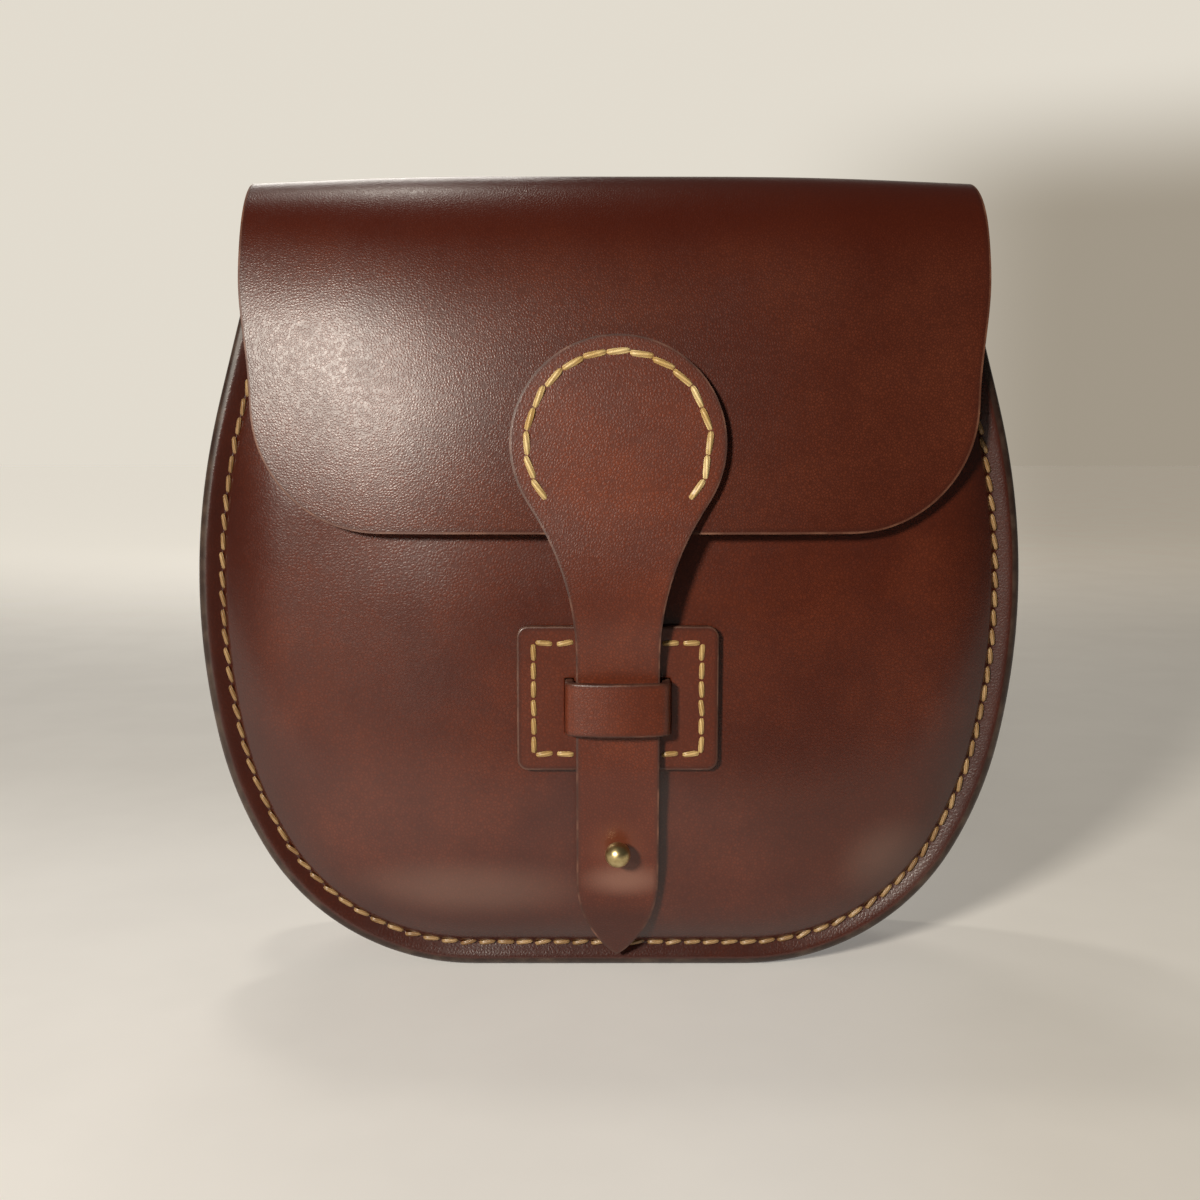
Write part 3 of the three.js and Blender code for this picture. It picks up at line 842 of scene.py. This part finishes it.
# Closing strap: 3 mm leather with a round head sewn to the flap, a tapering neck and a pointed tip.
# It runs down through the keeper loop and buttons on the stud; its edges are bevelled and burnished.
HEAD_RADIUS = 29.8
HEAD_CENTRE = 156.3
TIP_START = 31.0
STRAP_HEAD = {"radius": HEAD_RADIUS, "turn": -122.0, "steps": 30}
STRAP_THROAT = {"run": 4.1, "steps": 2}
STRAP_NECK = {"radius": 75.0, "turn": 32.0, "steps": 12}
STRAP_TIP = {"radius": 35.0, "turn": -47.5, "steps": 10}
STRAP_RINGS = (0.8, 1.2)
LOWEST_ROW = 7.0
STRAP_ROW = 3.2
SHORTEST_EDGE = 0.05
STRAP_ROUNDING = 0.6
STRAP_CLEARANCE = 0.3
SEWN_DOWN_TO = 140.0
BELOW_THE_HEAD = (
    (124.0, -22.0),
    (114.0, -22.4),
    (106.0, -21.4),
    (98.0, -19.4),
    (90.0, -18.5),
    (62.0, -18.5),
    (47.0, -16.35),
    (38.0, -16.35),
    (30.0, -13.9),
    (20.0, -11.3),
    (12.0, -7.4),
    (5.0, -4.0),
)
EASING_STEP = 1.0
EASING_PASSES = 14
STUD_HEIGHT = 41.0
# Painted shade: the strap's tip grows darker as it bends in towards the foot of the bag.
TIP_PAINTED_SHADE = {"heights": (30.0, 18.0), "share": 0.7, "tone": rgb(0.030, 0.0040, 0.0016)}
# Painted highlights: a warm sheen round the stud, and a pale band where the strap bends back below it.
STUD_PAINTED_SHINE = {
    "at": (CLOSURE_SHIFT, -16.0, STUD_HEIGHT + 1),
    "size": (11.0, 11.0, 11.0),
    "share": 0.6,
    "tone": rgb(0.160, 0.042, 0.018),
}
BEND_PAINTED_SHINE = {
    "at": (CLOSURE_SHIFT + 2, -14.5, STUD_HEIGHT - 9.5),
    "size": (16.0, 12.0, 7.0),
    "share": 0.75,
    "tone": rgb(0.230, 0.110, 0.078),
}
strap_leather = leather(
    "strap_leather", STRAP_DEEP, STRAP_WARM, STRAP_GRAIN, STRAP_EDGE, TIP_PAINTED_SHADE, (STUD_PAINTED_SHINE, BEND_PAINTED_SHINE)
)
HEAD_STITCH_RADIUS = 25.0
HEAD_STITCH_COUNT = 17
HEAD_STITCH_SPAN = 128.0
HEAD_STITCH = {"length": 7.4, "width": 1.9}
golden_thread = thread_finish("golden_thread", rgb(0.56, 0.37, 0.13), rgb(0.86, 0.68, 0.34))


def eased_line(line):
    """A line of heights and depths with its corners eased, as thick leather bends."""
    top = line[0][0]
    count = round((top - line[-1][0]) / EASING_STEP)
    heights = [top - EASING_STEP * step for step in range(count + 1)]
    depths = [depth_on(line, height) for height in heights]
    for step in range(EASING_PASSES):
        eased = [sum(near) / 3 for near in zip(depths, depths[1:], depths[2:])]
        depths = [depths[0], *eased, depths[-1]]
    return list(zip(heights, depths))


sewn = [(height, depth - STRAP_CLEARANCE - LEATHER) for height, depth in flap_line if height > SEWN_DOWN_TO]
strap_line = eased_line(sewn + list(BELOW_THE_HEAD))

bm, inset = new_sheet()
head_top = bm.verts.new((0, 0, HEAD_CENTRE + HEAD_RADIUS))
neck_end = sweep(bm, [head_top], (STRAP_HEAD, STRAP_THROAT, STRAP_NECK), head_top.co)
neck_place = neck_end[0].co.copy()
strap_body = {"run": neck_place.z - TIP_START, "steps": 10}
tip = sweep(bm, neck_end, (strap_body, STRAP_TIP), neck_place, heading=-90)
for item in tip:
    item.co.x = 0
mirror_sides(bm)
bmesh.ops.contextual_create(bm, geom=bm.edges[:])
bm.faces.ensure_lookup_table()
inset_rings(bm, inset, STRAP_RINGS)
height = LOWEST_ROW
while height < HEAD_CENTRE + HEAD_RADIUS:
    cut_across(bm, (0, 0, height), (0, 0, 1))
    height += STRAP_ROW
bmesh.ops.dissolve_degenerate(bm, dist=SHORTEST_EDGE, edges=bm.edges)
for vert in bm.verts:
    vert.co.y = depth_on(strap_line, vert.co.z)
face_out(bm, (0, depth_on(strap_line, HEAD_CENTRE), HEAD_CENTRE), FORWARD)
bmesh.ops.translate(bm, verts=bm.verts, vec=(CLOSURE_SHIFT, 0, 0))
flap_strap = make_piece("flap_strap_leather", bm, strap_leather)
give_thickness(flap_strap, LEATHER)
round_edges(flap_strap, STRAP_ROUNDING)
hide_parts("flap_strap")

bm = new_thread()
for step in range(HEAD_STITCH_COUNT):
    share = (step + 0.5) / HEAD_STITCH_COUNT
    angle = math.radians(HEAD_STITCH_SPAN * (2 * share - 1))
    spot = Vector((math.sin(angle), 0, math.cos(angle))) * HEAD_STITCH_RADIUS
    seat = Vector((CLOSURE_SHIFT, 0, HEAD_CENTRE)) + spot
    seat.y = depth_on(strap_line, seat.z)
    way = Vector((math.cos(angle), 0, -math.sin(angle)))
    add_stitch(bm, seat, way, FORWARD, **HEAD_STITCH)
make_piece("head_thread", bm, golden_thread)

# Stud: turned solid brass, a ball on a neck over a round base, held by a screw from inside the panel.
# It is polished by use, with a cloudy brown film left on it in places.
STUD_BALL = 3.6
STUD_BALL_CENTRE = -20.85
STUD_BALL_STEPS = 14
STUD_NECK = 2.0
STUD_FILLET = 0.6
STUD_BASE = 4.5
STUD_CHAMFER = 0.3
STUD_BASE_FACE = -13.05
STUD_SEAT = -11.85
STUD_SIDES = 40
BARE_BRASS = rgb(0.66, 0.53, 0.27)
BROWN_FILM = rgb(0.40, 0.30, 0.13)
FILM_PATCHES = {"size": 2.5, "detail": 4, "start": 0.35, "end": 0.75}
BRASS_ROUGHNESS = 0.32
FILM_DULLNESS = 0.16


def brass_finish():
    """Old polished brass: a warm metal with a cloudy brown film."""
    material, shade, place = new_finish("old_brass")
    film = place.patches(**FILM_PATCHES)
    colour = film.blend(BARE_BRASS, BROWN_FILM)
    roughness = BRASS_ROUGHNESS + film * FILM_DULLNESS
    set_surface(shade, {"Base Color": colour, "Metallic": 1.0, "Roughness": roughness})
    return material


bm = bmesh.new()
neck_angle = math.asin(STUD_NECK / STUD_BALL)
profile = [bm.verts.new((0, STUD_BALL_CENTRE - STUD_BALL, 0))]
arc = bmesh.ops.spin(
    bm,
    geom=profile,
    cent=(0, STUD_BALL_CENTRE, 0),
    axis=(1, 0, 0),
    angle=-(math.pi - neck_angle),
    steps=STUD_BALL_STEPS,
)["geom_last"]
last = arc[0]
for radius, depth in (
    (STUD_NECK, STUD_BASE_FACE - STUD_FILLET),
    (STUD_NECK + STUD_FILLET, STUD_BASE_FACE),
    (STUD_BASE - STUD_CHAMFER, STUD_BASE_FACE),
    (STUD_BASE, STUD_BASE_FACE + STUD_CHAMFER),
    (STUD_BASE, STUD_SEAT),
):
    vert = bm.verts.new((0, depth, radius))
    bm.edges.new((last, vert))
    last = vert
bmesh.ops.spin(
    bm,
    geom=bm.verts[:] + bm.edges[:],
    cent=(0, 0, 0),
    axis=(0, 1, 0),
    angle=math.tau,
    steps=STUD_SIDES,
    use_merge=True,
)
bmesh.ops.remove_doubles(bm, verts=bm.verts, dist=0.001)
bmesh.ops.recalc_face_normals(bm, faces=bm.faces)
bmesh.ops.translate(bm, verts=bm.verts, vec=(CLOSURE_SHIFT, 0, STUD_HEIGHT))
stud = make_piece("stud_brass", bm, brass_finish())
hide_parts("stud")

# Floor: a plain pale sheet that the bag stands on, far wider than the picture.
# Its glow is painted light: dimmer in a band behind the bag, with a painted shadow to the right.
FLOOR_SIZE = 6.0
SHEET_PATCHES = {"size": 60.0, "detail": 3, "start": 0.30, "end": 0.70}
SHEET_TONES = (rgb(0.68, 0.66, 0.63), rgb(0.71, 0.69, 0.66))
UNLIT_TONE = rgb(0.13, 0.125, 0.12)
# In front of the bag, out of the picture, the sheet is darker and does not glow.
UNLIT_EDGE = (-300, -150)
NEAR_GLOW = rgb(0.20, 0.195, 0.185)
MIDDLE_GLOW = rgb(0.11, 0.107, 0.10)
MIDDLE_GROUND = (40, 260)
FAR_GLOW = rgb(0.67, 0.625, 0.545)
FAR_GROUND = (330, 1500)
NEAR_SHADOW = rgb(0.17, 0.155, 0.130)
FAR_SHADOW = rgb(0.29, 0.25, 0.195)
SHADOW_APEX = 420
SHADOW_BEARINGS = (0.10, 0.34)
material, shade, place = new_finish("pale_sheet")
across = place.node("SeparateXYZ", {}, {"Vector": place}, "X")
behind = place.node("SeparateXYZ", {}, {"Vector": place}, "Y")
lit = behind.ramp(*UNLIT_EDGE)
sheet = place.patches(**SHEET_PATCHES).blend(*SHEET_TONES)
far_off = behind.ramp(*FAR_GROUND)
sheet_glow = behind.ramp(*MIDDLE_GROUND).blend(NEAR_GLOW, MIDDLE_GLOW)
sheet_glow = far_off.blend(sheet_glow, FAR_GLOW)
bearing = shade.math("DIVIDE", across, behind + SHADOW_APEX)
shadow_glow = far_off.blend(NEAR_SHADOW, FAR_SHADOW)
sheet_glow = bearing.ramp(*SHADOW_BEARINGS).blend(sheet_glow, shadow_glow)
set_surface(
    shade,
    {
        "Base Color": lit.blend(UNLIT_TONE, sheet),
        "Roughness": 0.85,
        "Emission Color": lit.blend(rgb(0, 0, 0), sheet_glow),
        "Emission Strength": 1.0,
    },
)
bm = bmesh.new()
bmesh.ops.create_grid(bm, x_segments=1, y_segments=1, size=FLOOR_SIZE)
mesh = bpy.data.meshes.new("floor")
bm.to_mesh(mesh)
bm.free()
mesh.materials.append(material)
floor = bpy.data.objects.new("floor", mesh)
bpy.context.collection.objects.link(floor)

# Light: a soft lamp to the left, behind the camera, dim ones over and behind the bag, and a dim room.
# Only the wall behind the bag is pale, and its lower right corner is shaded.
BAG_MIDDLE = Vector((0, 0, 0.11))
PALE_WALL = rgb(0.76, 0.71, 0.62)
SHADED_WALL = rgb(0.355, 0.31, 0.245)
OTHER_WALLS = rgb(0.045, 0.043, 0.040)
CEILING = rgb(0.05, 0.048, 0.045)


def soft_lamp(name, place, size, power, colour):
    """A round lamp that faces the middle of the bag."""
    lamp = bpy.data.lights.new(name, "AREA")
    lamp.shape = "DISK"
    lamp.size = size
    lamp.energy = power
    lamp.color = colour
    holder = bpy.data.objects.new(name, lamp)
    holder.location = place
    holder.rotation_euler = (BAG_MIDDLE - Vector(place)).to_track_quat("-Z", "Y").to_euler()
    bpy.context.collection.objects.link(holder)


soft_lamp("key_lamp", (-0.53, -0.99, 0.49), size=0.18, power=16.0, colour=(1.0, 0.93, 0.82))
soft_lamp("back_lamp", (-0.30, 1.10, 0.80), size=0.5, power=2.4, colour=(1.0, 0.95, 0.88))
soft_lamp("top_lamp", (-0.24, 0.34, 1.15), size=0.12, power=1.5, colour=(1.0, 0.94, 0.84))
world = bpy.data.worlds.new("pale_room")
world.use_nodes = True
room = Shade(world.node_tree)
way = room.node("TexCoord", {}, {}, "Generated")
behind = room.node("SeparateXYZ", {}, {"Vector": way}, "Y").ramp(0.45, 0.85)
overhead = room.node("SeparateXYZ", {}, {"Vector": way}, "Z").ramp(0.28, 0.6)
shaded = room.node("SeparateXYZ", {}, {"Vector": way}, "X").ramp(0.10, 0.32)
low = room.node("SeparateXYZ", {}, {"Vector": way}, "Z").ramp(0.24, 0.14)
back_wall = (shaded * low).blend(PALE_WALL, SHADED_WALL)
walls = behind.blend(OTHER_WALLS, back_wall)
glow = overhead.blend(walls, CEILING)
background = world.node_tree.nodes["Background"]
world.node_tree.links.new(glow.socket, background.inputs["Color"])
bpy.context.scene.world = world
bpy.context.scene.view_settings.view_transform = "Standard"

# Camera: close in front, a little above the bag's middle and looking down on it.
# Its lens is worked out from the focal length that fits the photo, in pixels.
CAMERA_PLACE = (-0.0026, -0.4068, 0.1596)
CAMERA_PITCH = 7.0
FOCAL_PIXELS = 1375.0
PICTURE_PIXELS = 1200.0
SENSOR_WIDTH = 36.0
camera = bpy.data.cameras.new("camera")
camera.sensor_width = SENSOR_WIDTH
camera.lens = SENSOR_WIDTH * FOCAL_PIXELS / PICTURE_PIXELS
camera.clip_start = 0.01
camera_holder = bpy.data.objects.new("camera", camera)
camera_holder.location = CAMERA_PLACE
camera_holder.rotation_euler = (math.radians(90 - CAMERA_PITCH), 0, 0)
bpy.context.collection.objects.link(camera_holder)
bpy.context.scene.camera = camera_holder
